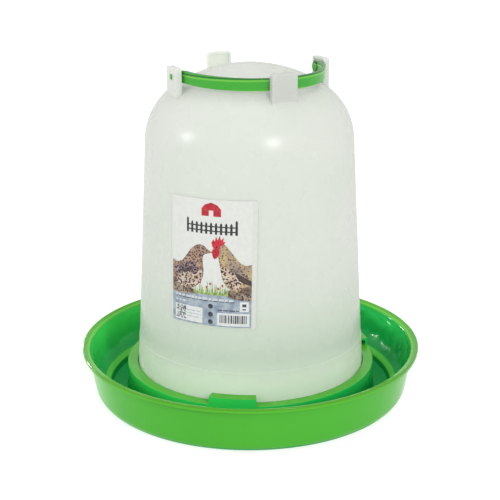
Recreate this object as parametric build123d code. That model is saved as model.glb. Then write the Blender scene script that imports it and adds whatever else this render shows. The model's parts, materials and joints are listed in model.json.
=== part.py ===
from build123d import *
import math
import os

# Poultry drinker in millimetres: a round trough tray, a vacuum fount that locks into the tray's
# collar with a bayonet, a bail handle between two of the fount's four posts, and a label.
# +Z is up, and the origin is at the middle of the tray's underside.
# Radii are built up from the fount's skirt outwards, and heights from the ground upwards.

# ---- driving dimensions: fount -----------------------------------------------------------------
FOUNT_WALL = 2.2
SKIRT_RADIUS = 114.6          # outside, level with the top of the collar
SKIRT_SPREAD = 0.3            # skirt's foot beyond that
SKIRT_FLARE = 1.8             # side's radius at the top of the skirt, short of the skirt's
SKIRT_RISE = 21.4             # top of the skirt above the hooks
SKIRT_STEP = 0.35             # ledge around the top of the skirt
SIDE_HEIGHT = 201.1           # tapered side, from the skirt to the shoulder
SIDE_TAPER = 3.17             # degrees from upright
SHOULDER_RADIUS = 62.8
DOME_EDGE = 33.0              # slope, in degrees, where the shoulder runs into the dome
NOTCH_COUNT = 3
NOTCH_WIDTH = 24.0
NOTCH_HEIGHT = 16.0           # sets the water level in the trough
NOTCH_ROUND = 5.0

# ---- driving dimensions: collar, bayonet hooks and lugs -----------------------------------------
COLLAR_GAP = 0.8              # skirt to collar or hook roof, so that the fount lifts out
COLLAR_HEIGHT = 32.4
COLLAR_WIDTH = 10.4
COLLAR_DRAFT = 0.8            # outer wall's spread from top to floor
HOOK_COUNT = 3
HOOK_START = -108.2           # first hook's open end, degrees from +X seen from above
HOOK_SPAN = 20.7              # degrees
HOOK_ROOF = 2.2
HOOK_STOP = 3.0               # thickness of the end wall that stops the lug
LUG_SPAN = 14.0               # degrees
LUG_HEIGHT = 4.2
LUG_GAP = 0.4                 # lug to collar top, hook roof, hook face and hook stop
GUTTER_WIDTH = 30.0           # water gutter through the collar, opposite the first hook

# ---- driving dimensions: drinking tray ---------------------------------------------------------
TRAY_WALL = 2.4
TRAY_FLOOR = 2.6
TROUGH_WIDTH = 15.9           # flat bed of the trough, from the collar to the shelf's step
STEP_RUN = 2.3                # sideways run of the step from the bed up to the shelf
SHELF_WIDTH = 13.5            # drinking shelf, from its inner edge out to the wall
SHELF_HEIGHT = 8.0            # its inner edge above the ground
SHELF_SLOPE = 38.5            # degrees above level
SHELF_ROUND = 22.0
WALL_LEAN = 10.2              # degrees from upright
RIM_HEIGHT = 51.4             # top of the lip before its edge is rounded
LIP_WIDTH = 7.4               # lip, from the inner wall out to its outer face
LIP_DROP = 3.05               # fall of the lip's top towards the inner wall
LIP_DEPTH = 4.7               # height of the lip's outer face
LIP_WALL = 2.1                # thickness of the lip's turned-down edge
LIP_ROUND = 1.3
LIP_BEND = 1.7                # rounding between the lip's top and the inner wall
BASE_ROUND = 12.3             # outer rounding between wall and underside
SOFT_EDGE = 0.8               # small rounding on moulded edges

# ---- driving dimensions: posts, bail handle and label -------------------------------------------
POST_COUNT = 4
POST_ANGLE = 23.8             # first post that carries a handle pin
POST_INSET = 22.2             # its outer face inside the top of the tapered side
POST_RISE = 1.3               # post's top above the dome's crown
POST_WIDTH = 25.1
POST_DEPTH = 5.6
POST_WALL = 2.2
POST_ROUND = 3.0
PIN_DROP = 9.1                # pin's axis below the post's top
PIN_RADIUS = 2.85
PIN_GAP = 0.1                 # running clearance of a pin in its post, on the radius
PIN_PROUD = 0.9               # pin beyond the post's outer face
STRAP_GAP = 1.0               # strap's outside to the posts' inner edges
STRAP_THICK = 2.6
STRAP_WIDTH = 11.6
STRAP_LIFT = 1.6              # strap's mid-line above the pin's axis
STRAP_REST = -2.4             # degrees above level as stored
EYE_RADIUS = 5.6
EYE_PROUD = 0.8
EYE_BLEND = 13.0              # length over which the strap narrows into the eye
LABEL_ANGLE = -109.7
LABEL_RISE = 43.4             # its lower edge above the skirt
LABEL_HEIGHT = 120.4
LABEL_WIDTH = 84.4            # measured straight across
LABEL_THICK = 0.25
LABEL_GAP = 0.1               # adhesive
LABEL_CORNER = 2.0

SAME = 0.05                   # how near an edge lies to the spot that picks it
CUT_MARGIN = 3.0              # how far a cutting block runs past what it cuts

# ---- collar, hooks and skirt that follow -------------------------------------------------------
COLLAR_INNER = SKIRT_RADIUS + COLLAR_GAP
COLLAR_OUTER = COLLAR_INNER + COLLAR_WIDTH
COLLAR_FOOT = COLLAR_OUTER + COLLAR_DRAFT
HOOK_TOP = COLLAR_HEIGHT + LUG_GAP + LUG_HEIGHT + LUG_GAP + HOOK_ROOF
GUTTER_ANGLE = HOOK_START + HOOK_SPAN / 2 + 180
SKIRT_TOP = HOOK_TOP + SKIRT_RISE
SIDE_RADIUS = SKIRT_RADIUS - SKIRT_FLARE

# ---- tray that follows ---------------------------------------------------------------------------
LEAN = math.tan(math.radians(WALL_LEAN))
SHELF_INNER = (COLLAR_FOOT + TROUGH_WIDTH + STEP_RUN, SHELF_HEIGHT)
SHELF_OUTER = (SHELF_INNER[0] + SHELF_WIDTH,
               SHELF_HEIGHT + SHELF_WIDTH * math.tan(math.radians(SHELF_SLOPE)))
WALL_TOP_HEIGHT = RIM_HEIGHT - LIP_DROP
WALL_TOP_RADIUS = SHELF_OUTER[0] + (WALL_TOP_HEIGHT - SHELF_OUTER[1]) * LEAN
RIM_RADIUS = WALL_TOP_RADIUS + LIP_WIDTH

# ---- shoulder, dome, posts and handle that follow ----------------------------------------------
TAPER = math.radians(SIDE_TAPER)
SHOULDER_START = SKIRT_TOP + SIDE_HEIGHT
SIDE_TOP_RADIUS = SIDE_RADIUS - SIDE_HEIGHT * math.tan(TAPER)
SHOULDER_CENTRE = (SIDE_TOP_RADIUS - SHOULDER_RADIUS * math.cos(TAPER),
                   SHOULDER_START - SHOULDER_RADIUS * math.sin(TAPER))
EDGE = math.radians(DOME_EDGE)
DOME_CENTRE = SHOULDER_CENTRE[1] - SHOULDER_CENTRE[0] / math.tan(EDGE)
DOME_RADIUS = SHOULDER_CENTRE[0] / math.sin(EDGE) + SHOULDER_RADIUS
POST_TOP = DOME_CENTRE + DOME_RADIUS + POST_RISE
POST_OUTER = SIDE_TOP_RADIUS - POST_INSET
PIN_HEIGHT = POST_TOP - PIN_DROP
STRAP_OUTER = POST_OUTER - POST_DEPTH - STRAP_GAP
STRAP_INNER = STRAP_OUTER - STRAP_THICK
LABEL_BOTTOM = SKIRT_TOP + LABEL_RISE


def side_radius(height):
    """Outside radius of the fount's tapered side at a height."""
    return SIDE_RADIUS - (height - SKIRT_TOP) * math.tan(TAPER)


def slab(inner, outer, low, high):
    """Ring of rectangular section; inner may be 0."""
    ring = Pos(0, 0, low) * extrude(Circle(outer), high - low)
    if inner > 0:
        ring -= Pos(0, 0, low) * extrude(Circle(inner), high - low)
    return ring


def sector(start, span, reach, low, high):
    """Wedge about Z from the start angle, both angles in degrees, for cutting arcs out of rings."""
    arc = CenterArc((0, 0), reach, start, span)
    sides = Polyline(arc @ 1, (0, 0), arc @ 0)
    return Pos(0, 0, low) * extrude(make_face([arc, sides]), high - low)


def turned(points):
    """Solid of revolution about Z of a closed outline of (radius, height) points."""
    outline = make_face(Polyline(*[(r, 0, z) for r, z in points], close=True))
    return revolve(outline, Axis.Z)


def round_ring_edges(solid, spots, radius):
    """Rounds the circular edges nearest to the given (radius, height) spots."""
    picked = []
    for r, z in spots:
        picked += [e for e in solid.edges() if e.geom_type == GeomType.CIRCLE
                   and abs(e.radius - r) < SAME and abs(e.arc_center.Z - z) < SAME]
    return fillet(picked, radius)


def tray_bowl():
    """The trough: lip, outer wall, drinking shelf, bed and collar, turned as one moulding."""
    wall_across = TRAY_WALL / math.cos(math.radians(WALL_LEAN))
    base_corner = (WALL_TOP_RADIUS + wall_across - WALL_TOP_HEIGHT * LEAN, 0)
    lip_slope = LIP_DROP / LIP_WIDTH
    # the outer wall ends at the lip's underside, a wall's thickness below its top
    under_lip = (lip_slope * wall_across - TRAY_WALL) / (1 - lip_slope * LEAN)
    wall_end = (WALL_TOP_RADIUS + wall_across + under_lip * LEAN, WALL_TOP_HEIGHT + under_lip)
    lip_inside = RIM_RADIUS - LIP_WALL
    lip_foot = RIM_HEIGHT - LIP_DEPTH
    lip_top = (RIM_RADIUS, RIM_HEIGHT)
    wall_top = (WALL_TOP_RADIUS, WALL_TOP_HEIGHT)
    step_foot = (SHELF_INNER[0] - STEP_RUN, TRAY_FLOOR)
    collar_foot = (COLLAR_FOOT, TRAY_FLOOR)
    channel_top = COLLAR_HEIGHT - TRAY_WALL
    collar_top_in = (COLLAR_INNER, COLLAR_HEIGHT)
    collar_top_out = (COLLAR_OUTER, COLLAR_HEIGHT)
    bowl = turned([
        (0, 0),
        (COLLAR_INNER + TRAY_WALL, 0),
        (COLLAR_INNER + TRAY_WALL, channel_top),
        (COLLAR_OUTER - TRAY_WALL, channel_top),
        (COLLAR_FOOT - TRAY_WALL, 0),
        base_corner,
        wall_end,
        (lip_inside, RIM_HEIGHT - LIP_WALL * lip_slope - TRAY_WALL),
        (lip_inside, lip_foot),
        (RIM_RADIUS, lip_foot),
        lip_top,
        wall_top,
        SHELF_OUTER,
        SHELF_INNER,
        step_foot,
        collar_foot,
        collar_top_out,
        collar_top_in,
        (COLLAR_INNER, TRAY_FLOOR),
        (0, TRAY_FLOOR),
    ])
    bowl = round_ring_edges(bowl, [base_corner], BASE_ROUND)
    bowl = round_ring_edges(bowl, [SHELF_OUTER], SHELF_ROUND)
    bowl = round_ring_edges(bowl, [lip_top], LIP_ROUND)
    bowl = round_ring_edges(bowl, [wall_top], LIP_BEND)
    bowl = round_ring_edges(bowl, [step_foot, collar_foot], 2 * SOFT_EDGE)
    bowl = round_ring_edges(bowl, [(RIM_RADIUS, lip_foot), (lip_inside, lip_foot)], SOFT_EDGE / 2)
    return round_ring_edges(bowl, [SHELF_INNER, collar_top_out, collar_top_in], SOFT_EDGE)


def bayonet_hook(start):
    """Hook on the collar: a wall over its outer edge, a roof reaching in and a stop at the far end."""
    foot = COLLAR_HEIGHT - TRAY_WALL / 2
    wall = slab(COLLAR_OUTER - TRAY_WALL, COLLAR_OUTER, foot, HOOK_TOP)
    roof = slab(COLLAR_INNER, COLLAR_OUTER, HOOK_TOP - HOOK_ROOF, HOOK_TOP)
    body = (wall + roof) & sector(start, HOOK_SPAN, 2 * COLLAR_OUTER, 0, 2 * HOOK_TOP)
    stop_span = math.degrees(HOOK_STOP / COLLAR_OUTER)
    stop = slab(COLLAR_INNER, COLLAR_OUTER, foot, HOOK_TOP)
    stop_wedge = sector(start + HOOK_SPAN - stop_span, stop_span, 2 * COLLAR_OUTER, 0, 2 * HOOK_TOP)
    return body + (stop & stop_wedge)


def drinking_tray():
    tray = tray_bowl()
    # the gutter's bed and side walls keep the water off the hollow under the collar
    reach = COLLAR_FOOT + CUT_MARGIN
    length = COLLAR_WIDTH + COLLAR_DRAFT + 2 * CUT_MARGIN
    inwards = (Align.MAX, Align.CENTER, Align.MIN)
    bed = Box(length, GUTTER_WIDTH + 2 * TRAY_WALL, COLLAR_HEIGHT - TRAY_WALL / 2, align=inwards)
    lane = Box(length, GUTTER_WIDTH, COLLAR_HEIGHT, align=inwards)
    collar = slab(COLLAR_INNER, COLLAR_OUTER, 0, COLLAR_HEIGHT)
    turn = Rot(0, 0, GUTTER_ANGLE)
    tray += (turn * Pos(reach, 0, 0) * bed) & collar
    tray -= turn * Pos(reach, 0, TRAY_FLOOR) * lane
    for index in range(HOOK_COUNT):
        tray += bayonet_hook(HOOK_START + index * 360 / HOOK_COUNT)
    return tray


def fount_core(inset):
    """Fount body set in by a wall: the skirt, the tapered side, the shoulder and the dome."""
    round_r = SHOULDER_RADIUS - inset
    dome_r = DOME_RADIUS - inset

    def on_shoulder(angle):
        return (SHOULDER_CENTRE[0] + round_r * math.cos(angle), 0,
                SHOULDER_CENTRE[1] + round_r * math.sin(angle))

    low = TRAY_FLOOR if inset == 0 else TRAY_FLOOR - CUT_MARGIN
    lower = Polyline(
        (0, 0, low),
        (SKIRT_RADIUS + SKIRT_SPREAD - inset, 0, low),
        (SKIRT_RADIUS - inset, 0, COLLAR_HEIGHT),
        (SIDE_RADIUS + SKIRT_STEP - inset, 0, SKIRT_TOP - SKIRT_STEP),
        (SIDE_RADIUS - inset, 0, SKIRT_TOP),
        on_shoulder(TAPER),
    )
    dome_end = math.pi / 2 - EDGE
    shoulder = ThreePointArc(on_shoulder(TAPER), on_shoulder((TAPER + dome_end) / 2),
                             on_shoulder(dome_end))
    crown = (0, 0, DOME_CENTRE + dome_r)
    half = (dome_r * math.sin(EDGE / 2), 0, DOME_CENTRE + dome_r * math.cos(EDGE / 2))
    dome = ThreePointArc(on_shoulder(dome_end), half, crown)
    axis_line = Line(crown, (0, 0, low))
    return revolve(make_face([lower, shoulder, dome, axis_line]), Axis.Z)


def fount_post():
    """Post at angle 0: a channel open towards the axis, rising from the shoulder, rounded on top."""
    height = POST_TOP - SHOULDER_START
    block = Box(POST_DEPTH, POST_WIDTH, height, align=(Align.MAX, Align.CENTER, Align.MAX))
    top_corners = block.edges().filter_by(Axis.X).group_by(Axis.Z)[-1]
    block = fillet(top_corners, POST_ROUND)
    hollow = Box(POST_DEPTH - POST_WALL, POST_WIDTH - 2 * POST_WALL, height - POST_WALL,
                 align=(Align.MAX, Align.CENTER, Align.MAX))
    block -= Pos(-POST_WALL, 0, -POST_WALL) * hollow
    return Pos(POST_OUTER, 0, POST_TOP) * block


def pin_hole():
    hole = Cylinder(PIN_RADIUS + PIN_GAP, 3 * POST_DEPTH, rotation=(0, 90, 0))
    return Pos(POST_OUTER - POST_WALL / 2, 0, PIN_HEIGHT) * hole


def bayonet_lug(hook_start):
    """Lug on the skirt, under a hook and against its stop when the fount is locked."""
    low = COLLAR_HEIGHT + LUG_GAP
    gap_span = math.degrees((HOOK_STOP + LUG_GAP) / COLLAR_OUTER)
    start = hook_start + HOOK_SPAN - gap_span - LUG_SPAN
    ring = slab(SIDE_RADIUS - FOUNT_WALL, COLLAR_OUTER - TRAY_WALL - LUG_GAP, low, low + LUG_HEIGHT)
    return ring & sector(start, LUG_SPAN, 2 * COLLAR_OUTER, 0, 2 * COLLAR_HEIGHT)


def fount():
    body = fount_core(0)
    for index in range(POST_COUNT):
        body += Rot(0, 0, POST_ANGLE + index * 360 / POST_COUNT) * fount_post()
    for index in range(HOOK_COUNT):
        body += bayonet_lug(HOOK_START + index * 360 / HOOK_COUNT)
    body -= fount_core(FOUNT_WALL)
    for angle in (POST_ANGLE, POST_ANGLE + 180):
        body -= Rot(0, 0, angle) * pin_hole()
    for index in range(NOTCH_COUNT):
        notch = Box(2 * SKIRT_RADIUS, NOTCH_WIDTH, NOTCH_HEIGHT,
                    align=(Align.MIN, Align.CENTER, Align.MIN))
        upper = notch.edges().filter_by(Axis.X).group_by(Axis.Z)[-1]
        notch = fillet(upper, NOTCH_ROUND)
        body -= Rot(0, 0, GUTTER_ANGLE + index * 360 / NOTCH_COUNT) * Pos(0, 0, TRAY_FLOOR) * notch
    return body


def bail_handle():
    """Flat strap bent in a half circle, narrowing at each end into an eye that carries a pin."""
    # drawn level: X along the hinge, Y towards the strap's middle, Z across the strap's width
    low = STRAP_LIFT - STRAP_WIDTH / 2
    high = STRAP_LIFT + STRAP_WIDTH / 2
    reach = EYE_RADIUS + 1

    def u_shape(radius):
        return Circle(radius) + Pos(0, -reach / 2) * Rectangle(2 * radius, reach)

    keep = Pos(0, STRAP_OUTER / 2 - reach / 2) * Rectangle(4 * STRAP_OUTER, STRAP_OUTER + reach)
    band = (u_shape(STRAP_OUTER) - u_shape(STRAP_INNER)) & keep
    band = Pos(0, 0, low - 2) * extrude(band, high - low + 4)
    # the strap seen along the hinge: a round eye, a blend and the full width beyond
    eye = CenterArc((0, 0), EYE_RADIUS, 90, 180)
    blend = Polyline(eye @ 1, (EYE_BLEND, low), (2 * STRAP_OUTER, low), (2 * STRAP_OUTER, high),
                     (EYE_BLEND, high), eye @ 0)
    outline = make_face([eye, blend])
    outline = fillet([v for v in outline.vertices() if abs(v.X - EYE_BLEND) < 0.01], EYE_BLEND / 2)
    across = Plane((0, 0, 0), x_dir=(0, 1, 0), z_dir=(1, 0, 0))
    side_view = extrude(across * outline, 2 * STRAP_OUTER, both=True)
    strap = band & side_view
    for side in (1, -1):
        boss = Cylinder(EYE_RADIUS - SOFT_EDGE, STRAP_THICK / 2 + EYE_PROUD, rotation=(0, 90, 0))
        strap += Pos(side * (STRAP_INNER + (STRAP_THICK / 2 - EYE_PROUD) / 2), 0, 0) * boss
        length = POST_OUTER + PIN_PROUD - STRAP_INNER - STRAP_THICK / 2
        pin = Cylinder(PIN_RADIUS, length)
        pin = chamfer(pin.edges().group_by(Axis.Z)[-1], SOFT_EDGE)
        strap += Rot(0, side * 90, 0) * Pos(0, 0, POST_OUTER + PIN_PROUD - length / 2) * pin
    # Y of the drawing goes to the front post's side of the hinge, then the strap tips to its rest
    return Pos(0, 0, PIN_HEIGHT) * Rot(0, 0, POST_ANGLE + 180) * Rot(STRAP_REST, 0, 0) * strap


def label():
    """Thin rectangular label wrapped around the tapered side."""
    top = LABEL_BOTTOM + LABEL_HEIGHT
    back = LABEL_GAP
    face = LABEL_GAP + LABEL_THICK
    shell = turned([
        (side_radius(LABEL_BOTTOM) + back, LABEL_BOTTOM),
        (side_radius(LABEL_BOTTOM) + face, LABEL_BOTTOM),
        (side_radius(top) + face, top),
        (side_radius(top) + back, top),
    ])
    blank = RectangleRounded(LABEL_WIDTH, LABEL_HEIGHT, LABEL_CORNER)
    facing = Plane((0, 0, 0), x_dir=(0, 1, 0), z_dir=(1, 0, 0))
    blank = extrude(facing * blank, 2 * SKIRT_RADIUS)
    return shell & (Rot(0, 0, LABEL_ANGLE) * Pos(0, 0, LABEL_BOTTOM + LABEL_HEIGHT / 2) * blank)


os.makedirs("parts", exist_ok=True)
export_step(drinking_tray(), "parts/drinking_tray.step")
export_step(fount(), "parts/fount.step")
export_step(bail_handle(), "parts/bail_handle.step")
export_step(label(), "parts/label.step")
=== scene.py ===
import json
import math
import random
from types import SimpleNamespace

import bmesh
import bpy
from mathutils import Matrix, Vector


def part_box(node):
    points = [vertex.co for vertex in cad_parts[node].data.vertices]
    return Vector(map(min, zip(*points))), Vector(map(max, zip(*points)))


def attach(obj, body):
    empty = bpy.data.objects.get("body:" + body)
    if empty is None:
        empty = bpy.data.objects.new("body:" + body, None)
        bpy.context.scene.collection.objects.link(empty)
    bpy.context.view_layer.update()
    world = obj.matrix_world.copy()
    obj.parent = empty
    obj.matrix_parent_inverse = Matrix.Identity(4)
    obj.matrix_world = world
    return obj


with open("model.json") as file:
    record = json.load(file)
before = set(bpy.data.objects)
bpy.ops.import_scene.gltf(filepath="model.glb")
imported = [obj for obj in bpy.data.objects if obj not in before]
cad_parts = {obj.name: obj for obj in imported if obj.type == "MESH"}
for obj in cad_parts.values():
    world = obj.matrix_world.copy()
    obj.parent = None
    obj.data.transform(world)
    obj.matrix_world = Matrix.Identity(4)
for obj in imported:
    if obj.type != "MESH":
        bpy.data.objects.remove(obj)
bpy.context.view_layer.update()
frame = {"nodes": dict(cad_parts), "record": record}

# A poultry drinker: a green trough tray, a milky fount with a printed label, and a green bail handle.
# The four CAD nodes keep their shapes and get their plastics here. The label's print is drawn as thin
# closed pieces that ride on the fount. Lengths are in metres, and the print's outlines in millimetres.

# ---- viewpoint --------------------------------------------------------------------------------------
CAMERA_AT = (0.0, -1.11180, 0.49847)
CAMERA_PITCH = 17.612         # degrees below level
CAMERA_ROLL = -0.218          # degrees
CAMERA_LENS = 83.66           # millimetres
SENSOR_WIDTH = 36             # millimetres

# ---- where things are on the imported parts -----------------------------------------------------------
TRAY_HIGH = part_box("drinking_tray")[1]
LABEL_LOW, LABEL_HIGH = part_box("label")
RIM_RADIUS = TRAY_HIGH.x
LIP_RISE = 0.0024             # the lip stands this far above the wall's inner top
WALL_TOP = TRAY_HIGH.z - LIP_RISE
WALL_RADIUS = 0.1647          # middle of the wall's thickness at its top
WALL_LEAN = 0.18              # outward run of the wall for each unit of height
BED_HEIGHT = 0.0026           # the trough's floor
BAND_INNER, BAND_OUTER = 0.1444, 0.1494    # radii of the shelf's inner band
BAND_LEVEL = 0.0072           # the band lies above this height
COLLAR_OUTER = 0.1262
COLLAR_LEVEL = 0.030          # the collar's top and the hooks lie above this height
SKIRT_LEVEL = 0.061           # top of the fount's skirt
DOME_CENTRE = 0.19862         # height of the centre of the dome's sphere
DOME_RADIUS = 0.13435
POST_LEVEL = DOME_CENTRE + 0.100           # the posts rise from the shoulder at about this height
STRAP_HALF = 0.0058           # half the bail strap's width
STRAP_MIDDLE = next(m["pos_m"][2] for m in frame["record"]["mounts"] if m["name"] == "bail_lift")


def linear(rgb):
    """Linear colour of an sRGB colour given from 0 to 255."""
    shares = [c / 255 for c in rgb]
    return tuple(s / 12.92 if s <= 0.04045 else ((s + 0.055) / 1.055) ** 2.4 for s in shares) + (1.0,)


# ---- camera, light and floor ------------------------------------------------------------------------
def make_camera():
    data = bpy.data.cameras.new("camera")
    data.lens = CAMERA_LENS
    data.sensor_width = SENSOR_WIDTH
    camera = bpy.data.objects.new("camera", data)
    bpy.context.scene.collection.objects.link(camera)
    tilt = Matrix.Rotation(math.radians(90 - CAMERA_PITCH), 4, "X")
    roll = Matrix.Rotation(math.radians(CAMERA_ROLL), 4, "Z")
    camera.matrix_world = Matrix.Translation(CAMERA_AT) @ tilt @ roll
    bpy.context.scene.camera = camera


def make_world(strength):
    world = bpy.data.worlds.new("studio")
    world.use_nodes = True
    background = world.node_tree.nodes["Background"]
    background.inputs["Color"].default_value = (1, 1, 1, 1)
    background.inputs["Strength"].default_value = strength
    bpy.context.scene.world = world


def softbox(name, at, aim, size, power):
    """White elliptical lamp of a size in metres and a power in watts, turned to the point aim."""
    data = bpy.data.lights.new(name, "AREA")
    data.shape = "ELLIPSE"
    data.size, data.size_y = size
    data.energy = power
    light = bpy.data.objects.new(name, data)
    bpy.context.scene.collection.objects.link(light)
    light.location = at
    light.rotation_euler = (Vector(aim) - Vector(at)).to_track_quat("-Z", "Y").to_euler()
    return light


def make_lights():
    shoulder = (0, 0, 0.22)
    softbox("left_softbox", (-1.34, -0.446, 0.69), shoulder, (0.25, 0.25), 4.2)
    softbox("right_softbox", (0.598, -1.286, 0.738), shoulder, (0.21, 0.21), 6.5)
    # small low lamps for glints on the tray's inner wall; they light nothing else
    tray_only = bpy.data.collections.new("tray_only")
    tray_only.objects.link(frame["nodes"]["drinking_tray"])
    wall, size, power = (0.15, 0.05, 0.04), (0.18, 0.12), 4
    glints = {"glint_left": (-1.17, 0.76, 0.20), "glint_back": (-0.78, 1.16, 0.20),
              "glint_high": (-1.17, 0.91, 0.42)}
    for name, at in glints.items():
        softbox(name, at, wall, size, power).light_linking.receiver_collection = tray_only
    softbox("overhead", (0, 0, 2.4), (0, 0, 0), (2.2, 2.2), 10)


def make_floor(reach, grey, glow):
    """Floor of a base grey that also glows, so that the drinker's shadow stays faint."""
    mesh = bpy.data.meshes.new("floor")
    corners = [(-reach, -reach, 0), (reach, -reach, 0), (reach, reach, 0), (-reach, reach, 0)]
    mesh.from_pydata(corners, [], [(0, 1, 2, 3)])
    floor = bpy.data.objects.new("floor", mesh)
    bpy.context.scene.collection.objects.link(floor)
    material = bpy.data.materials.new("floor")
    material.use_nodes = True
    shader = material.node_tree.nodes["Principled BSDF"]
    shader.inputs["Base Color"].default_value = (grey, grey, grey, 1)
    shader.inputs["Emission Color"].default_value = (1, 1, 1, 1)
    shader.inputs["Emission Strength"].default_value = glow
    shader.inputs["Roughness"].default_value = 1.0
    shader.inputs["Specular IOR Level"].default_value = 0.0
    mesh.materials.append(material)


make_camera()
make_world(strength=1.05)
make_lights()
make_floor(reach=8.0, grey=0.4, glow=0.74)
bpy.context.scene.view_settings.view_transform = "Standard"


# ---- node helpers -----------------------------------------------------------------------------------
def new_material(name):
    material = bpy.data.materials.new(name)
    material.use_nodes = True
    tree = material.node_tree
    return material, tree, tree.nodes["Principled BSDF"]


def feed(tree, socket, value):
    """Links an output to a socket, or sets the socket to a plain value."""
    if isinstance(value, bpy.types.NodeSocket):
        tree.links.new(value, socket)
    else:
        socket.default_value = value


def calc(tree, operation, *values):
    node = tree.nodes.new("ShaderNodeMath")
    node.operation = operation
    for socket, value in zip(node.inputs, values):
        feed(tree, socket, value)
    return node.outputs[0]


def product(tree, first, *others):
    for other in others:
        first = calc(tree, "MULTIPLY", first, other)
    return first


def length(tree, first, second):
    """Length of the hypotenuse over two sides."""
    squares = [calc(tree, "MULTIPLY", side, side) for side in (first, second)]
    return calc(tree, "SQRT", calc(tree, "ADD", *squares))


def fade(tree, value, low, high, start=0.0, end=1.0):
    """Smooth step from start at low to end at high."""
    node = tree.nodes.new("ShaderNodeMapRange")
    node.interpolation_type = "SMOOTHSTEP"
    feed(tree, node.inputs["Value"], value)
    for name, number in (("From Min", low), ("From Max", high), ("To Min", start), ("To Max", end)):
        node.inputs[name].default_value = number
    return node.outputs["Result"]


def stripe(tree, value, start, full, last, end):
    """1 from full to last, falling off to 0 at start and at end."""
    return product(tree, fade(tree, value, start, full), fade(tree, value, last, end, 1, 0))


def tint(tree, share, first, second):
    """Colour that goes from first to second with share."""
    node = tree.nodes.new("ShaderNodeMix")
    node.data_type = "RGBA"
    factor, colour_a, colour_b = node.inputs[0], node.inputs[6], node.inputs[7]
    feed(tree, factor, share)
    feed(tree, colour_a, first)
    feed(tree, colour_b, second)
    return node.outputs[2]


def brighten(tree, value, colour):
    """The colour with its brightness times value."""
    node = tree.nodes.new("ShaderNodeHueSaturation")
    feed(tree, node.inputs["Value"], value)
    feed(tree, node.inputs["Color"], colour)
    return node.outputs[0]


def noise(tree, vector, scale, detail):
    node = tree.nodes.new("ShaderNodeTexNoise")
    feed(tree, node.inputs["Vector"], vector)
    node.inputs["Scale"].default_value = scale
    node.inputs["Detail"].default_value = detail
    return node.outputs["Fac"]


def mottle(tree, vector, scale, detail, start, end):
    """Patches that go from start to end, scale of them to the metre."""
    return fade(tree, noise(tree, vector, scale, detail), 0.3, 0.7, start, end)


def place(tree):
    """The shaded point: its vector, x, y, height, radius from the fount's axis, and how far it faces up."""
    coord = tree.nodes.new("ShaderNodeTexCoord")
    parts = tree.nodes.new("ShaderNodeSeparateXYZ")
    tree.links.new(coord.outputs["Object"], parts.inputs[0])
    facing = tree.nodes.new("ShaderNodeSeparateXYZ")
    tree.links.new(coord.outputs["Normal"], facing.inputs[0])
    x, y, height = parts.outputs
    return SimpleNamespace(vector=coord.outputs["Object"], x=x, y=y, height=height,
                           radius=length(tree, x, y), upward=facing.outputs[2])


def bump(tree, shader, height, strength, distance):
    node = tree.nodes.new("ShaderNodeBump")
    node.inputs["Strength"].default_value = strength
    node.inputs["Distance"].default_value = distance
    feed(tree, node.inputs["Height"], height)
    tree.links.new(node.outputs["Normal"], shader.inputs["Normal"])


# ---- moulded plastics -------------------------------------------------------------------------------
TRAY_IOR = 1.49
HANDLE_IOR = 1.49
FOUNT_IOR = 1.5
TRAY_SPECULAR = 0.16
HANDLE_SPECULAR = 0.3
TRANSLUCENT_SHARE = 0.42      # of the fount's plastic
TROUGH_SHADE_HEIGHTS = (0.044, 0.006)       # the trough's painted shade deepens its emerald from the first height to the second
LIP_TINT_LEVEL = 0.044        # above this height the outer wall turns to the lip's lime
SCUFF_HEIGHTS = (0.022, 0.014)        # the trough's scuffs come in from the first height to the second
SCUFF_ROUGHNESS = 0.3
WAVE_HEIGHTS = (0.047, 0.040)         # the wall's waves come in from the first height to the second
WAVE_RADII = (0.146, 0.152)
WAVE_DEPTH = 0.0085
BOUNCE_MILK_HEIGHTS = (0.15, 0.085)      # painted green light bounced from the tray comes in on the fount between these heights
# painted light makes the skirt paler between these heights
LIT_SKIRT_HEIGHTS = (0.078, 0.046)
LEDGE_SHADE = 0.16            # the skirt's ledge is darker by this share
# painted shade on the front posts and painted light on the back posts
FRONT_POST_SHADE, BACK_POST_LIGHT = -0.15, 0.13
LIME = linear((66, 158, 42))
LIP_LIME = linear((74, 160, 36))
LIP_OLIVE = linear((70, 140, 34))
LIP_HIGHLIGHT = linear((98, 182, 60))
# inside the trough: emerald is painted shade and bounced green light, lighter on the left and deeper low down;
# the band and collar limes are painted light on upward faces
EMERALD = linear((40, 188, 86))
LIT_LEFT_EMERALD = linear((66, 216, 92))
SHADED_DEEP_EMERALD = linear((0, 146, 68))
LIT_BAND_LIME = linear((84, 194, 62))
LIT_COLLAR_LIME = linear((74, 160, 46))
STRAP_SIDE = linear((52, 146, 40))
STRAP_HIGHLIGHT = linear((96, 170, 60))
STRAP_EDGE_SHADE = linear((18, 92, 28))
MILK = linear((224, 228, 221))
MILK_LIGHT = linear((228, 230, 225))
BOUNCE_MILK = linear((218, 227, 215))
LIT_SKIRT_MILK = linear((252, 255, 246))


def wall_mask(tree, at):
    """1 within the trough's sloping wall, 0 outside it."""
    lean = product(tree, calc(tree, "SUBTRACT", at.height, WALL_TOP), WALL_LEAN)
    upright = calc(tree, "SUBTRACT", at.radius, lean)
    return fade(tree, upright, WALL_RADIUS - 0.0004, WALL_RADIUS + 0.0005, 1, 0)


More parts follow.
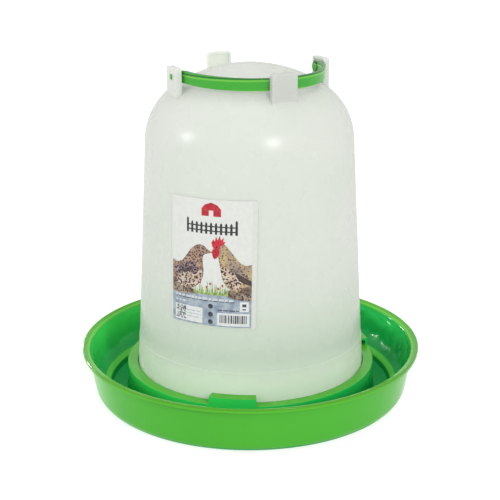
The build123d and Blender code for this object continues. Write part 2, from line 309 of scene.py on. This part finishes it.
def trough_colour(tree, at):
    """Emerald of painted shade and bounced green light, painted lighter on the left wall and painted deeper
    with depth, with a painted-light lime band along the shelf and a painted-light lime collar top.
    """
    # painted light: the left inner wall is a lighter emerald
    emerald = tint(tree, fade(tree, at.x, -0.12, 0.10), LIT_LEFT_EMERALD, EMERALD)
    colour = tint(tree, fade(tree, at.height, *TROUGH_SHADE_HEIGHTS), emerald, SHADED_DEEP_EMERALD)
    # painted light on the shelf's upward-facing band
    band = stripe(tree, at.radius, BAND_INNER - 0.0002, BAND_INNER + 0.0003,
                  BAND_OUTER - 0.0008, BAND_OUTER + 0.0008)
    band = product(tree, band, calc(tree, "GREATER_THAN", at.height, BAND_LEVEL))
    colour = tint(tree, band, colour, LIT_BAND_LIME)
    # painted light on the collar's upward-facing top
    collar_top = product(tree, calc(tree, "LESS_THAN", at.radius, COLLAR_OUTER),
                         fade(tree, at.upward, 0.5, 0.8),
                         calc(tree, "GREATER_THAN", at.height, COLLAR_LEVEL))
    return tint(tree, collar_top, colour, LIT_COLLAR_LIME)


def outer_colour(tree, at):
    """Lime wall and lip, with an olive outer edge and a painted highlight along the lip's inner edge."""
    colour = tint(tree, fade(tree, at.height, LIP_TINT_LEVEL, WALL_TOP), LIME, LIP_LIME)
    outer_edge = product(tree, fade(tree, at.height, WALL_TOP, WALL_TOP + 0.001),
                         fade(tree, at.radius, RIM_RADIUS - 0.0026, RIM_RADIUS - 0.0008))
    colour = tint(tree, outer_edge, colour, LIP_OLIVE)
    # painted highlight along the lip's inner edge
    highlight_edge = product(tree, fade(tree, at.height, WALL_TOP - 0.0004, WALL_TOP + 0.0006),
                        fade(tree, at.radius, WALL_RADIUS + 0.0008, WALL_RADIUS + 0.0020, 1, 0))
    return tint(tree, highlight_edge, colour, LIP_HIGHLIGHT)


def tray_plastic():
    material, tree, shader = new_material("tray_green")
    at = place(tree)
    within = wall_mask(tree, at)
    below_lip = fade(tree, at.height, WALL_TOP - 0.0012, WALL_TOP + 0.0002, 1, 0)
    above_bed = calc(tree, "GREATER_THAN", at.height, BED_HEIGHT - 0.0002)
    trough = product(tree, within, below_lip, above_bed)
    colour = tint(tree, trough, outer_colour(tree, at), trough_colour(tree, at))
    feed(tree, shader.inputs["Base Color"], brighten(tree, mottle(tree, at.vector, 14, 3, 0.97, 1.03), colour))
    # the trough's bottom is scuffed; its wall is glossy
    scuffed = product(tree, trough, fade(tree, at.height, *SCUFF_HEIGHTS), SCUFF_ROUGHNESS)
    gloss = mottle(tree, at.vector, 60, 4, 0.13, 0.20)
    feed(tree, shader.inputs["Roughness"], calc(tree, "ADD", gloss, scuffed))
    shader.inputs["IOR"].default_value = TRAY_IOR
    shader.inputs["Specular IOR Level"].default_value = TRAY_SPECULAR
    # the moulded wall is wavy inside, most on the right, and nearly smooth elsewhere
    wavy = product(tree, within, fade(tree, at.height, *WAVE_HEIGHTS), fade(tree, at.radius, *WAVE_RADII),
                   fade(tree, at.x, -0.06, 0.06, 0.35, 1.0))
    ripple = calc(tree, "SUBTRACT", noise(tree, at.vector, 34, 1), 0.5)
    bump(tree, shader, product(tree, ripple, fade(tree, wavy, 0, 1, 0.06, 1.0)), 1.0, WAVE_DEPTH)
    return material


def handle_plastic():
    """Green strap with painted highlight lines below its top edge and at its foot, and painted shade on its
    up- and down-facing faces and along its top edge.
    """
    material, tree, shader = new_material("handle_green")
    at = place(tree)
    top = STRAP_MIDDLE + STRAP_HALF
    foot = STRAP_MIDDLE - STRAP_HALF
    # painted highlights: a line below the top edge and one at the foot
    highlight_line = stripe(tree, at.height, top - 0.0034, top - 0.0024, top - 0.0018, top - 0.0010)
    foot_highlight = fade(tree, at.height, foot + 0.0012, foot + 0.0004)
    colour = tint(tree, calc(tree, "MAXIMUM", highlight_line, foot_highlight), STRAP_SIDE, STRAP_HIGHLIGHT)
    # painted shade on faces that point up or down and a line at the top edge
    flat = fade(tree, calc(tree, "ABSOLUTE", at.upward), 0.4, 0.8)
    shade_line = stripe(tree, at.height, top - 0.0014, top - 0.0006, top, top + 0.0006)
    colour = tint(tree, calc(tree, "MAXIMUM", flat, shade_line), colour, STRAP_EDGE_SHADE)
    feed(tree, shader.inputs["Base Color"], colour)
    feed(tree, shader.inputs["Roughness"], mottle(tree, at.vector, 80, 3, 0.22, 0.32))
    shader.inputs["IOR"].default_value = HANDLE_IOR
    shader.inputs["Specular IOR Level"].default_value = HANDLE_SPECULAR
    bump(tree, shader, noise(tree, at.vector, 120, 2), 0.15, 0.0004)
    return material


def post_mask(tree, at):
    """1 on the posts, which stand above the dome's sphere."""
    reach = length(tree, at.radius, calc(tree, "SUBTRACT", at.height, DOME_CENTRE))
    return product(tree, fade(tree, reach, DOME_RADIUS + 0.0003, DOME_RADIUS + 0.002),
                   fade(tree, at.height, POST_LEVEL - 0.002, POST_LEVEL + 0.002))


def milk_colour(tree, at):
    """Milky white, with painted green bounce light low down, painted light that makes the skirt paler and
    painted shade on the ledge; the posts have painted shade in front and painted light behind.
    """
    cloud = fade(tree, noise(tree, at.vector, 6, 4), 0.35, 0.65)
    colour = tint(tree, cloud, MILK, MILK_LIGHT)
    # painted green light bounced from the tray, low on the fount
    colour = tint(tree, fade(tree, at.height, *BOUNCE_MILK_HEIGHTS), colour, BOUNCE_MILK)
    # painted light: the skirt is paler
    colour = tint(tree, fade(tree, at.height, *LIT_SKIRT_HEIGHTS), colour, LIT_SKIRT_MILK)
    # painted shade on the skirt's ledge
    ledge = product(tree, fade(tree, at.upward, 0.3, 0.7),
                    fade(tree, at.height, SKIRT_LEVEL + 0.003, SKIRT_LEVEL + 0.005, 1, 0))
    # painted shade darkens the front posts and painted light brightens the back ones
    post_shade = calc(tree, "ADD", fade(tree, at.y, -0.065, -0.045, FRONT_POST_SHADE, 0.0),
                      fade(tree, at.y, 0.045, 0.065, 0.0, BACK_POST_LIGHT))
    value = calc(tree, "ADD", 1.0, product(tree, post_mask(tree, at), post_shade))
    value = calc(tree, "SUBTRACT", value, product(tree, ledge, LEDGE_SHADE))
    return brighten(tree, value, colour)


def fount_plastic():
    material, tree, shader = new_material("fount_milky")
    at = place(tree)
    colour = milk_colour(tree, at)
    feed(tree, shader.inputs["Base Color"], colour)
    feed(tree, shader.inputs["Roughness"], mottle(tree, at.vector, 40, 4, 0.24, 0.31))
    shader.inputs["IOR"].default_value = FOUNT_IOR
    bump(tree, shader, noise(tree, at.vector, 18, 2), 0.08, 0.0008)
    glow = tree.nodes.new("ShaderNodeBsdfTranslucent")
    feed(tree, glow.inputs["Color"], colour)
    mix = tree.nodes.new("ShaderNodeMixShader")
    mix.inputs["Fac"].default_value = TRANSLUCENT_SHARE
    tree.links.new(shader.outputs[0], mix.inputs[1])
    tree.links.new(glow.outputs[0], mix.inputs[2])
    tree.links.new(mix.outputs[0], tree.nodes["Material Output"].inputs["Surface"])
    return material


# ---- the label's film and inks ----------------------------------------------------------------------
PRINT_SHADE = 0.67            # share of its seen colour that an ink or the film gives back
INK_SPECULAR = 0.3


def ink_colour(rgb):
    red, green, blue, alpha = linear(rgb)
    return red * PRINT_SHADE, green * PRINT_SHADE, blue * PRINT_SHADE, alpha


def ink(name, first, second, scale):
    """Ink that is mottled from the first colour to the second, scale blots to the metre."""
    material, tree, shader = new_material(name)
    coord = tree.nodes.new("ShaderNodeTexCoord")
    blot = noise(tree, coord.outputs["Object"], scale, 3)
    colour = tint(tree, fade(tree, blot, 0.35, 0.65), ink_colour(first), ink_colour(second))
    feed(tree, shader.inputs["Base Color"], colour)
    feed(tree, shader.inputs["Roughness"], fade(tree, blot, 0.35, 0.65, 0.36, 0.46))
    shader.inputs["Specular IOR Level"].default_value = INK_SPECULAR
    return material


def feathers(name, ground, fleck, scale, share):
    """Plumage: a mottled ground with small dark flecks, one to each cell."""
    material, tree, shader = new_material(name)
    coord = tree.nodes.new("ShaderNodeTexCoord")
    cells = tree.nodes.new("ShaderNodeTexVoronoi")
    cells.inputs["Scale"].default_value = scale
    feed(tree, cells.inputs["Vector"], coord.outputs["Object"])
    blot = noise(tree, coord.outputs["Object"], scale / 4, 3)
    under = tint(tree, fade(tree, blot, 0.35, 0.65), ink_colour(ground[0]), ink_colour(ground[1]))
    spotted = fade(tree, cells.outputs["Distance"], share, share + 0.12, 1, 0)
    feed(tree, shader.inputs["Base Color"], tint(tree, spotted, under, ink_colour(fleck)))
    feed(tree, shader.inputs["Roughness"], fade(tree, blot, 0.35, 0.65, 0.38, 0.46))
    shader.inputs["Specular IOR Level"].default_value = INK_SPECULAR
    return material


def label_film():
    material, tree, shader = new_material("label_film")
    coord = tree.nodes.new("ShaderNodeTexCoord")
    grain = noise(tree, coord.outputs["Object"], 300, 3)
    colour = tint(tree, fade(tree, grain, 0.3, 0.7), ink_colour((220, 225, 216)), ink_colour((226, 229, 221)))
    feed(tree, shader.inputs["Base Color"], colour)
    feed(tree, shader.inputs["Roughness"], fade(tree, grain, 0.3, 0.7, 0.36, 0.44))
    shader.inputs["Specular IOR Level"].default_value = INK_SPECULAR
    return material


# ---- the label's print: thin closed pieces on the film ----------------------------------------------
# Outlines are (u, v) in millimetres: u runs to a viewer's right from the label's upright middle line,
# and v upward from its foot.
INK_THICKNESS = 0.00002
FIRST_LIFT = 0.00002          # the lowest layer's height off the film
LAYER_LIFT = 0.00003          # from one layer to the next
CUT_ACROSS = 0.002            # the pieces are cut this often to bend round the fount
PRINT_LEFT, PRINT_RIGHT = -41.6, 38.6      # millimetres


def label_shape():
    """The film's outer radius at its foot and its top, and the angle of its middle."""
    node = frame["nodes"]["label"]
    spots = [node.matrix_world @ v.co for v in node.data.vertices]
    radii = []
    for level in (LABEL_LOW.z, LABEL_HIGH.z):
        radii.append(max(math.hypot(s.x, s.y) for s in spots if abs(s.z - level) < 0.0005))
    return radii[0], radii[1], math.atan2(sum(s.y for s in spots), sum(s.x for s in spots))


FOOT_RADIUS, TOP_RADIUS, LABEL_TURN = label_shape()
LABEL_RISE = LABEL_HIGH.z - LABEL_LOW.z


def wrap(u, v, lift):
    """World place of a point of the label, lift off the film, all in metres."""
    radius = FOOT_RADIUS + (TOP_RADIUS - FOOT_RADIUS) * v / LABEL_RISE + lift
    angle = LABEL_TURN + u / radius
    return Vector((radius * math.cos(angle), radius * math.sin(angle), LABEL_LOW.z + v))


def settle(sheet):
    """Orders the corners, edges and faces by place, because the cuts leave them in a new order each run."""
    for index, vert in enumerate(sorted(sheet.verts, key=lambda v: tuple(v.co))):
        vert.index = index
    sheet.verts.sort()
    for elements in (sheet.edges, sheet.faces):
        for index, element in enumerate(sorted(elements, key=lambda e: [v.index for v in e.verts])):
            element.index = index
        elements.sort()


def print_piece(name, outlines, layer, material):
    """One piece of print: outlines that are filled, given a thickness and bent round the fount."""
    sheet = bmesh.new()
    for outline in outlines:
        sheet.faces.new([sheet.verts.new((u / 1000, v / 1000, 0)) for u, v in outline])
    bmesh.ops.triangulate(sheet, faces=sheet.faces[:])
    low = min(v.co.x for v in sheet.verts)
    high = max(v.co.x for v in sheet.verts)
    for step in range(math.floor(low / CUT_ACROSS) + 1, math.ceil(high / CUT_ACROSS)):
        bmesh.ops.bisect_plane(sheet, geom=sheet.verts[:] + sheet.edges[:] + sheet.faces[:], dist=1e-7,
                               plane_co=(step * CUT_ACROSS, 0, 0), plane_no=(1, 0, 0))
    raised = bmesh.ops.extrude_face_region(sheet, geom=sheet.faces[:])["geom"]
    for vert in raised:
        if isinstance(vert, bmesh.types.BMVert):
            vert.co.z = INK_THICKNESS
    for vert in sheet.verts:
        vert.co = wrap(vert.co.x, vert.co.y, vert.co.z + FIRST_LIFT + LAYER_LIFT * layer)
    bmesh.ops.recalc_face_normals(sheet, faces=sheet.faces[:])
    settle(sheet)
    mesh = bpy.data.meshes.new(name)
    sheet.to_mesh(mesh)
    sheet.free()
    mesh.materials.append(material)
    piece = bpy.data.objects.new(name, mesh)
    bpy.context.scene.collection.objects.link(piece)
    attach(piece, "fount")


def smooth(points, steps=4):
    """Closed Catmull-Rom curve through the points, cut off at the print's sides."""
    curve = []
    count = len(points)
    for i in range(count):
        before, here, there, after = (Vector(points[(i + k) % count]) for k in (-1, 0, 1, 2))
        for step in range(steps):
            t = step / steps
            spot = 0.5 * (2 * here + (there - before) * t
                          + (2 * before - 5 * here + 4 * there - after) * t ** 2
                          + (3 * here - before - 3 * there + after) * t ** 3)
            curve.append((max(PRINT_LEFT, min(PRINT_RIGHT, spot.x)), spot.y))
    return [spot for i, spot in enumerate(curve) if spot != curve[i - 1]]


def rect(left, right, bottom, top):
    return [(left, bottom), (right, bottom), (right, top), (left, top)]


def disc(u, v, across, up=None, points=16):
    """Oval of half-widths across and up, or a circle."""
    up = across if up is None else up
    turns = [2 * math.pi * k / points for k in range(points)]
    return [(u + across * math.cos(t), v + up * math.sin(t)) for t in turns]


# the two birds and the ground that they stand on
SITTING_HEN = smooth([(-43, 57), (-36, 57.5), (-30, 60), (-25, 66), (-20, 72.5), (-13, 77), (-7, 76.5),
                      (-3.5, 73.5), (1.6, 70.8), (-3.5, 69.5), (-7.5, 67), (-8, 60), (-7.2, 52), (-9, 44),
                      (-14, 38), (-21, 34), (-30, 31.5), (-43, 31)])
STANDING_COCK = smooth([(1.6, 73.5), (4.5, 79), (10, 81), (15.5, 77), (21, 70.5), (27, 63.5), (33, 60),
                        (40, 60.5), (43, 50), (43, 36), (40, 29), (33, 32), (24, 34.5), (16, 39), (11.5, 46),
                        (9.5, 54), (8.2, 62), (6.2, 69)])
WING_LEFT = smooth([(-40, 52), (-31, 55), (-23, 60), (-16, 58), (-14, 51), (-19, 46), (-28, 44), (-37, 46)])
WING_RIGHT = smooth([(16, 66), (23, 64), (30, 57), (35, 50), (34, 46), (27, 48), (19, 54)])
COMB = [(1.2, 77), (0.6, 80), (2.4, 83.6), (3.8, 81.2), (5, 86.4), (6.6, 82.6), (8.6, 87.4), (9.6, 82.8),
        (12.2, 85.6), (12, 81.6), (14, 81.8), (12.2, 78.6), (9.4, 77.8), (8.4, 74.4), (5.4, 73.6), (2.4, 75.4)]
WATTLE = smooth([(1.2, 72.4), (4.4, 74.6), (8.2, 73.6), (8, 69.4), (5, 65.4), (2.4, 66)])
HEN_BREAST = smooth([(-24, 50), (-16, 48), (-9.6, 54), (-8.4, 49), (-10, 43.5), (-15, 38.5), (-22, 35),
                     (-31, 34), (-37, 38), (-33, 46)])
COCK_BREAST = smooth([(9.2, 57), (14, 58), (19, 54), (26, 50), (29, 43), (25, 36.5), (17, 40), (12.4, 46)])
COCK_TAIL = smooth([(23, 52.5), (29, 50.5), (36, 46.5), (43, 44), (43, 40.5), (34, 42), (27, 46)])
HEN_TAIL = smooth([(-33, 50), (-28, 51.5), (-19, 56), (-20, 52), (-27, 48.5)])
EARTH_LEFT = smooth([(-43, 41), (-38, 40), (-33, 36), (-27, 34), (-21, 34.5), (-15, 33), (-17, 29.5),
                     (-43, 29)])
EARTH_RIGHT = smooth([(13, 33), (19, 36.5), (26, 34.5), (31, 39), (43, 41), (43, 27.5), (30, 27), (19, 29)])
EYES = [disc(-7.6, 73.4, 0.8), disc(5.6, 76.4, 0.9)]
FLOWERS = [disc(u, v, 0.9, 1.3, 10) for u, v in ((-10.5, 41.5), (-4, 37.5), (-0.5, 41), (7.5, 37), (11.5, 40))]
PANELS = [rect(-38.2, -8, 2.2, 17), rect(6.6, 37, 1.8, 14), rect(28, 36.2, 16, 25.4)]
MARKS = [rect(30.2, 34, 20.6, 23.4), rect(30.4, 33.8, 17.6, 18.8)]
DOTS = [disc(0, v, 2.4) for v in (19.6, 11.8, 4.6)]
BARN = [(-9.5, 104.6), (-2.2, 104.6), (-2.2, 110), (2.2, 110), (2.2, 104.6), (9.5, 104.6), (9.5, 111.5),
        (6, 115.2), (0, 117.4), (-6, 115.2), (-9.5, 111.5)]


def tuft(u, tall, lean):
    """One blade of grass."""
    foot = 30.5
    return [(u, foot), (u + 1.5, foot), (u + 0.9 + lean, foot + tall * 0.6), (u + 0.8 + 2 * lean, foot + tall)]


def grass():
    """Tufts between the birds, tallest in the middle."""
    draw = random.Random(4)
    return [tuft(-17 + 1.55 * k, draw.uniform(8, 15) - abs(k - 11) * 0.25, draw.uniform(-0.9, 0.9))
            for k in range(22)]


def ground_edge():
    """The printed band under the birds, with a soft uneven top."""
    draw = random.Random(7)
    top = [(u, 31.2 + (u + 41) * 0.02 + draw.uniform(-0.7, 0.7)) for u in range(37, -41, -3)]
    return [(PRINT_LEFT, 0.6), (PRINT_RIGHT, 0.6), (PRINT_RIGHT, 32.6)] + top + [(PRINT_LEFT, 31)]


def fence():
    """Pickets, the end ones taller, and two rails."""
    left, step, width, foot, count = -25, 4.8, 2.2, 88, 11
    pickets, rails = [], []
    for k in range(count):
        u = left + step * k
        point = foot + (14.2 if k in (0, count - 1) else 11.2)
        pickets.append([(u, foot), (u + width, foot), (u + width, point - 1.8), (u + width / 2, point),
                        (u, point - 1.8)])
        if k < count - 1:
            rails += [rect(u + width, u + step, rail, rail + 1.2) for rail in (90.4, 94.6)]
    return pickets + rails


def squares():
    """Plain mottled patch that stands for no code."""
    draw = random.Random(3)
    side, left, foot = 1.15, -37.2, 3.6
    return [rect(left + side * c, left + side * (c + 0.96), foot + side * r, foot + side * (r + 0.96))
            for r in range(11) for c in range(10) if draw.random() < 0.6]


def bars():
    """Upright bars of drawn widths that stand for no code."""
    draw = random.Random(11)
    found, u = [], 9.0
    while u < 34:
        width = draw.choice((0.5, 0.9, 1.4))
        found.append(rect(u, u + width, 4.4, 12.2))
        u += width + draw.choice((0.6, 0.9))
    return found


def dashes(left, right, bottom, top, seed):
    """A row of plain dashes where small print would be."""
    draw = random.Random(seed)
    found, u = [], left
    while u < right:
        end = min(right, u + draw.uniform(2.2, 6.0))
        found.append(rect(u, end, bottom, top))
        u = end + 1.1
    return found


def print_paper_and_ground():
    paper = rect(PRINT_LEFT, PRINT_RIGHT, 0.5, LABEL_RISE * 1000 - 0.6)
    print_piece("print_paper", [paper], 0, ink("ink_paper", (226, 228, 223), (232, 233, 228), 240))
    print_piece("print_ground", [ground_edge()], 1, ink("ink_slate", (142, 156, 174), (178, 190, 200), 150))


def print_birds():
    print_piece("print_hen", [SITTING_HEN], 2,
                feathers("ink_hen", ((188, 158, 134), (146, 116, 98)), (74, 54, 56), 560, 0.36))
    print_piece("print_cock", [STANDING_COCK], 2,
                feathers("ink_cock", ((206, 178, 132), (168, 148, 124)), (104, 84, 72), 460, 0.26))
    print_piece("print_wing_left", [WING_LEFT], 3,
                feathers("ink_wing_dark", ((132, 114, 124), (176, 152, 146)), (48, 38, 52), 560, 0.46))
    print_piece("print_wing_right", [WING_RIGHT], 3,
                feathers("ink_wing_grey", ((148, 132, 124), (176, 158, 134)), (96, 80, 78), 480, 0.36))
    print_piece("print_breasts", [HEN_BREAST, COCK_BREAST], 4,
                feathers("ink_breast", ((226, 208, 190), (206, 178, 156)), (66, 50, 50), 520, 0.42))
    print_piece("print_tails", [HEN_TAIL, COCK_TAIL], 5, ink("ink_tail", (52, 42, 44), (92, 74, 72), 300))
    print_piece("print_earth", [EARTH_LEFT, EARTH_RIGHT], 5,
                feathers("ink_earth", ((176, 160, 140), (118, 98, 84)), (70, 54, 50), 420, 0.34))
    print_piece("print_comb", [COMB], 3, ink("ink_red", (190, 28, 48), (216, 56, 70), 400))
    print_piece("print_wattle", [WATTLE], 4, ink("ink_crimson", (180, 26, 46), (206, 44, 62), 400))
    print_piece("print_eyes", EYES, 5, ink("ink_dark", (40, 34, 36), (62, 54, 54), 300))
    print_piece("print_grass", grass(), 6, ink("ink_grass", (112, 152, 52), (184, 206, 120), 500))
    print_piece("print_flowers", FLOWERS, 7, ink("ink_rust", (150, 70, 46), (196, 96, 60), 300))


def print_heading():
    """A fence and a barn where a heading would be."""
    print_piece("print_fence", fence(), 1, ink("ink_charcoal", (44, 44, 48), (64, 64, 68), 300))
    print_piece("print_barn", [BARN], 1, ink("ink_barn", (184, 34, 50), (200, 56, 66), 300))


def print_small_marks():
    """White panels with plain squares, bars and dashes; none of it can be read."""
    print_piece("print_panels", PANELS, 2, ink("ink_white", (228, 231, 232), (236, 238, 238), 300))
    print_piece("print_squares", squares(), 3, ink("ink_grey", (92, 94, 98), (120, 122, 126), 300))
    print_piece("print_bars", bars(), 3, ink("ink_bars", (60, 62, 66), (90, 92, 96), 300))
    print_piece("print_marks", MARKS, 3, ink("ink_mark", (56, 56, 60), (84, 84, 88), 300))
    print_piece("print_dots", DOTS, 2, ink("ink_dots", (46, 52, 62), (78, 86, 98), 300))
    lines = (dashes(-24.5, -9.5, 12.6, 13.4, 21) + dashes(-24.5, -9.5, 9.6, 10.4, 22)
             + dashes(-24.5, -12, 6.6, 7.4, 23))
    print_piece("print_lines", lines, 3, ink("ink_line", (170, 178, 184), (192, 198, 202), 300))
    captions = dashes(-37.5, 23, 25.2, 27.4, 31) + dashes(-37.5, -25, 20.4, 22, 32)
    print_piece("print_captions", captions, 7, ink("ink_caption", (206, 214, 222), (226, 230, 234), 300))
    shadows = dashes(-37, 23.4, 24.2, 25.0, 31) + dashes(7, 27, 16.0, 17.2, 33)
    print_piece("print_shadows", shadows, 7, ink("ink_shadow", (78, 86, 100), (104, 112, 124), 300))


def finish_node(node, material):
    mesh = frame["nodes"][node].data
    mesh.materials.clear()
    mesh.materials.append(material)


finish_node("drinking_tray", tray_plastic())
finish_node("bail_handle", handle_plastic())
finish_node("fount", fount_plastic())
finish_node("label", label_film())
print_paper_and_ground()
print_birds()
print_heading()
print_small_marks()
